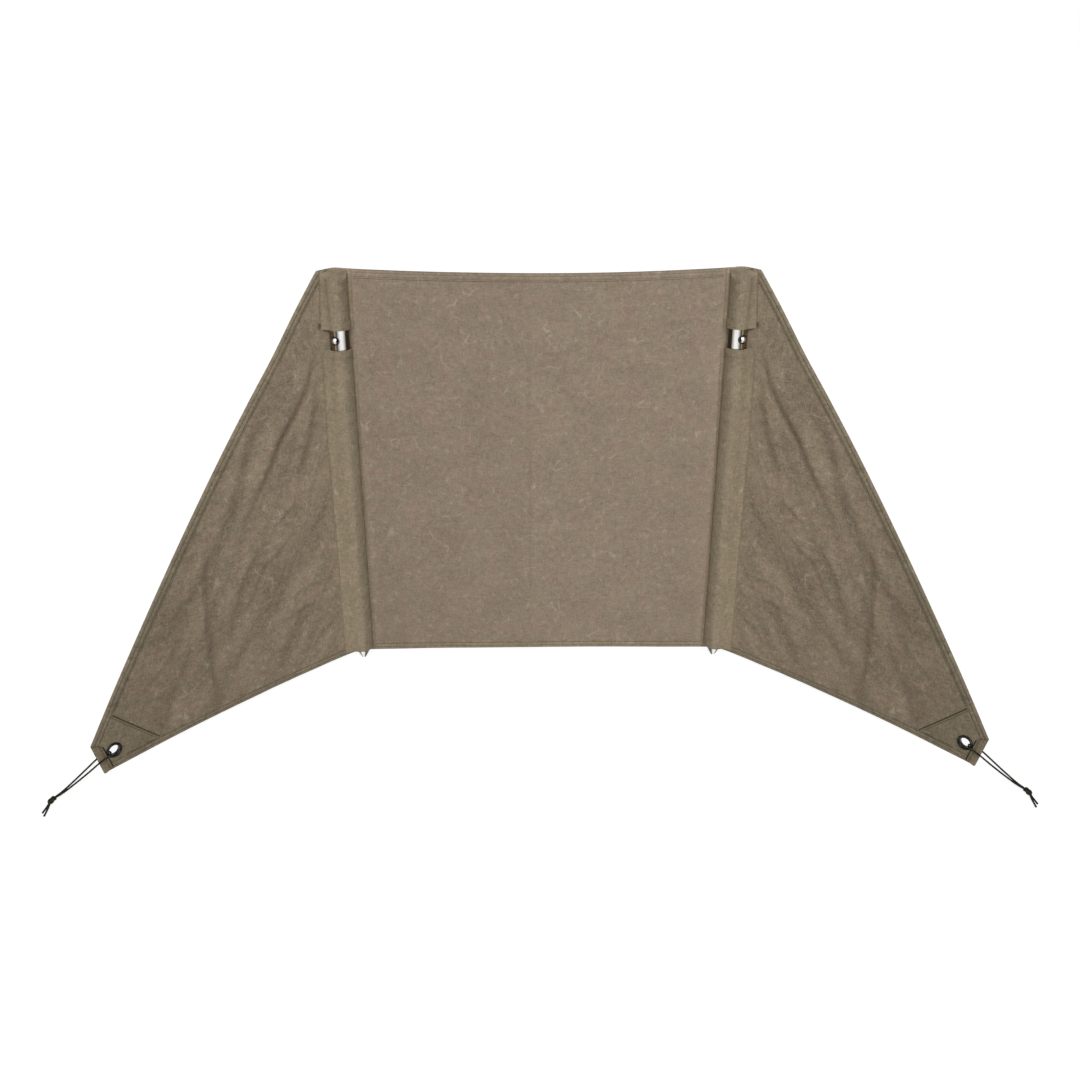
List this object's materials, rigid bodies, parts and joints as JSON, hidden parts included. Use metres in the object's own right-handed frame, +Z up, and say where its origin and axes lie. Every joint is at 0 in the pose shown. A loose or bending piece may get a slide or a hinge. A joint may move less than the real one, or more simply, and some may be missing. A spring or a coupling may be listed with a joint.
{
  "type": "campfire windbreak",
  "caption": "Low waxed-canvas screen on pointed steel poles, with tapered side wings that fold forward and peg down by cord loops, to keep wind off a campfire.",
  "frame": {"origin": "on the ground, under the middle of the box of the canvas and poles, cords left out", "axes": "+X from the left pole to the right pole, +Y from the open front to the back, +Z up along the poles"},
  "size_m": [1.059, 0.3195, 0.498],
  "materials": {
    "canvas": "waxed cotton canvas",
    "sleeve_canvas": "waxed cotton canvas",
    "patch_canvas": "waxed cotton canvas, doubled",
    "pole_steel": "polished stainless steel",
    "eyelet_metal": "gunmetal plated",
    "peg_cord": "flecked olive braid"
  },
  "bodies": {
    "screen": {"centre_panel": "canvas", "left_sleeve": "sleeve_canvas", "left_pocket": "sleeve_canvas", "left_pole": "pole_steel", "left_pole_tip": "pole_steel", "right_sleeve": "sleeve_canvas", "right_pocket": "sleeve_canvas", "right_pole": "pole_steel", "right_pole_tip": "pole_steel"},
    "left_side": {"left_wing": "canvas", "left_corner_patch": "patch_canvas", "left_corner_tab": "patch_canvas", "left_eyelet": "eyelet_metal", "left_eyelet_washer": "eyelet_metal", "left_cord_front": "peg_cord", "left_cord_back": "peg_cord", "left_knot": "peg_cord"},
    "right_side": {"right_wing": "canvas", "right_corner_patch": "patch_canvas", "right_corner_tab": "patch_canvas", "right_eyelet": "eyelet_metal", "right_eyelet_washer": "eyelet_metal", "right_cord_front": "peg_cord", "right_cord_back": "peg_cord", "right_knot": "peg_cord"},
    "left_catch": {"left_button": "pole_steel"},
    "right_catch": {"right_button": "pole_steel"}
  },
  "joints": [
    {"name": "left_wing_swing", "type": "hinge", "parent": "screen", "child": "left_side", "pos_m": [-0.223, 0.1147, 0.25], "axis": [0, 0, 1], "range_deg": [-44, 66]},
    {"name": "right_wing_swing", "type": "hinge", "parent": "screen", "child": "right_side", "pos_m": [0.223, 0.1147, 0.25], "axis": [0, 0, -1], "range_deg": [-44, 66]},
    {"name": "left_button_press", "type": "slide", "parent": "screen", "child": "left_catch", "axis": [0.3746, 0.9272, 0], "range_m": [0, 0.003]},
    {"name": "right_button_press", "type": "slide", "parent": "screen", "child": "right_catch", "axis": [-0.3746, 0.9272, 0], "range_m": [0, 0.003]}
  ]
}
